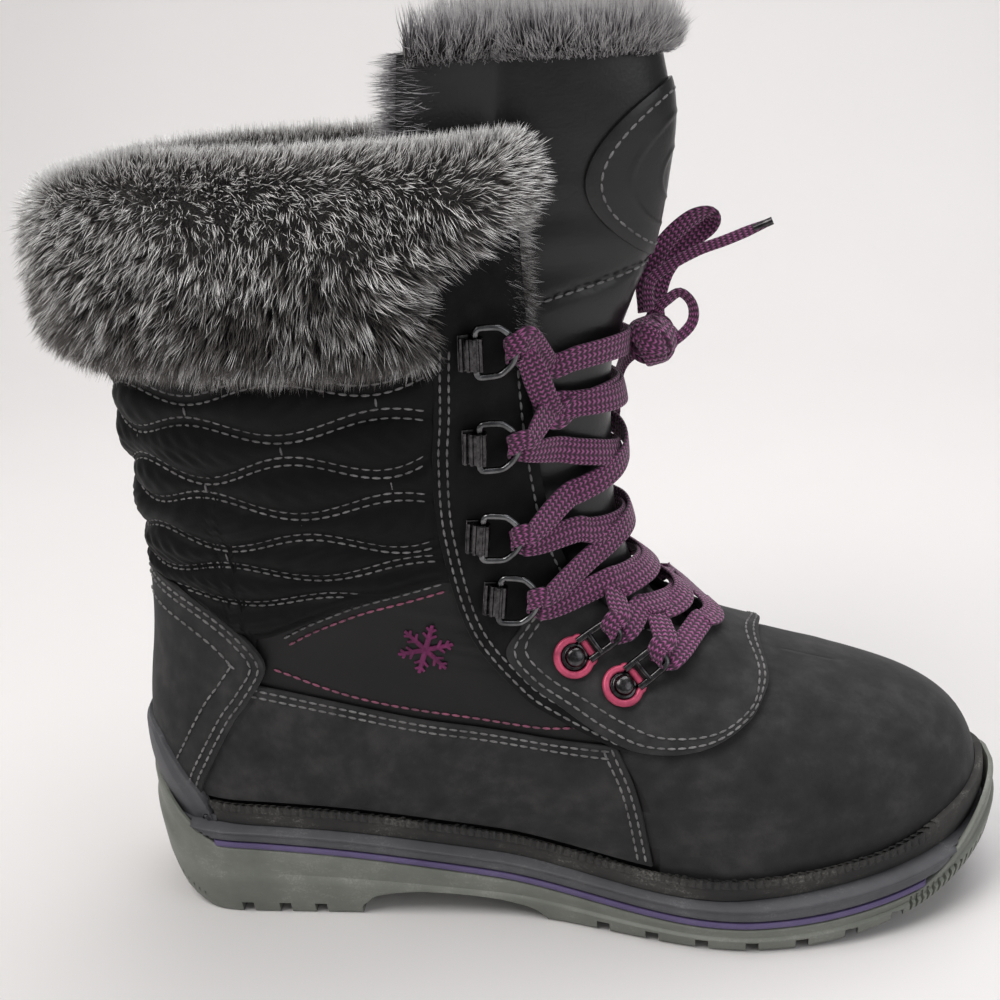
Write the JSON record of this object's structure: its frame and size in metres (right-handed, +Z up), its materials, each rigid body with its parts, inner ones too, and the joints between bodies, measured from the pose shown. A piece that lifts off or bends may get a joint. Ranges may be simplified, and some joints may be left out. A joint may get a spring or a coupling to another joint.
{
  "type": "snow boot",
  "caption": "Lace-up snow boot for the right foot, with a lugged rubber sole, quilted shaft, padded tongue and faux-fur cuff.",
  "frame": {"origin": "on the floor under the middle of the heel, 46 mm ahead of the back of the outsole", "axes": "+X to the toe, +Y to the inner side of the right foot, +Z up"},
  "size_m": [0.3025, 0.1298, 0.2894],
  "materials": {
    "nubuck": "black nubuck leather, matt",
    "smooth_leather": "black smooth leather with a soft sheen",
    "quilted_leather": "black padded leather with grey stitching",
    "fur": "grey faux fur with pale and dark tips",
    "felt": "grey felt insole",
    "midsole_rubber": "dark-grey rubber, worn paler on its ridge",
    "welt_rubber": "knurled dark rubber, dusty",
    "stripe_rubber": "violet rubber stripe",
    "outsole_rubber": "grey-green, slightly clear rubber",
    "gunmetal": "dark plated steel",
    "rose_enamel": "rose-pink enamel",
    "plum_lace": "flat woven plum lace"
  },
  "bodies": {
    "root": {"d_ring_lateral_1": "gunmetal", "d_ring_lateral_2": "gunmetal", "d_ring_lateral_3": "gunmetal", "d_ring_lateral_4": "gunmetal", "d_ring_medial_1": "gunmetal", "d_ring_medial_2": "gunmetal", "d_ring_medial_3": "gunmetal", "d_ring_medial_4": "gunmetal", "eyestay_lateral": "nubuck", "eyestay_medial": "nubuck", "fur_cuff": "fur", "heel_counter": "nubuck", "insole": "felt", "lace_bar_low": "plum_lace", "lace_bar_top": "plum_lace", "lace_bow_low": "plum_lace", "lace_bow_up": "plum_lace", "lace_crossing_1": "plum_lace", "lace_crossing_2": "plum_lace", "lace_crossing_3": "plum_lace", "lace_crossing_4": "plum_lace", "lace_crossing_5": "plum_lace", "lace_end_down": "plum_lace", "lace_end_up": "plum_lace", "lace_knot": "plum_lace", "lace_loop_lateral_1": "gunmetal", "lace_loop_lateral_2": "gunmetal", "lace_loop_medial_1": "gunmetal", "lace_loop_medial_2": "gunmetal", "lace_stay": "nubuck", "loop_rim_lateral_1": "rose_enamel", "loop_rim_lateral_2": "rose_enamel", "loop_rim_medial_1": "rose_enamel", "loop_rim_medial_2": "rose_enamel", "midsole": "midsole_rubber", "outsole": "outsole_rubber", "quarter_lateral": "nubuck", "quarter_medial": "nubuck", "ring_clip_lateral_1": "gunmetal", "ring_clip_lateral_2": "gunmetal", "ring_clip_lateral_3": "gunmetal", "ring_clip_lateral_4": "gunmetal", "ring_clip_medial_1": "gunmetal", "ring_clip_medial_2": "gunmetal", "ring_clip_medial_3": "gunmetal", "ring_clip_medial_4": "gunmetal", "rivet_lateral_1": "gunmetal", "rivet_lateral_2": "gunmetal", "rivet_medial_1": "gunmetal", "rivet_medial_2": "gunmetal", "shaft_quilting": "quilted_leather", "sole_stripe": "stripe_rubber", "tongue": "smooth_leather", "tongue_fur": "fur", "tongue_patch": "smooth_leather", "upper": "nubuck", "welt": "welt_rubber"}
  },
  "joints": []
}
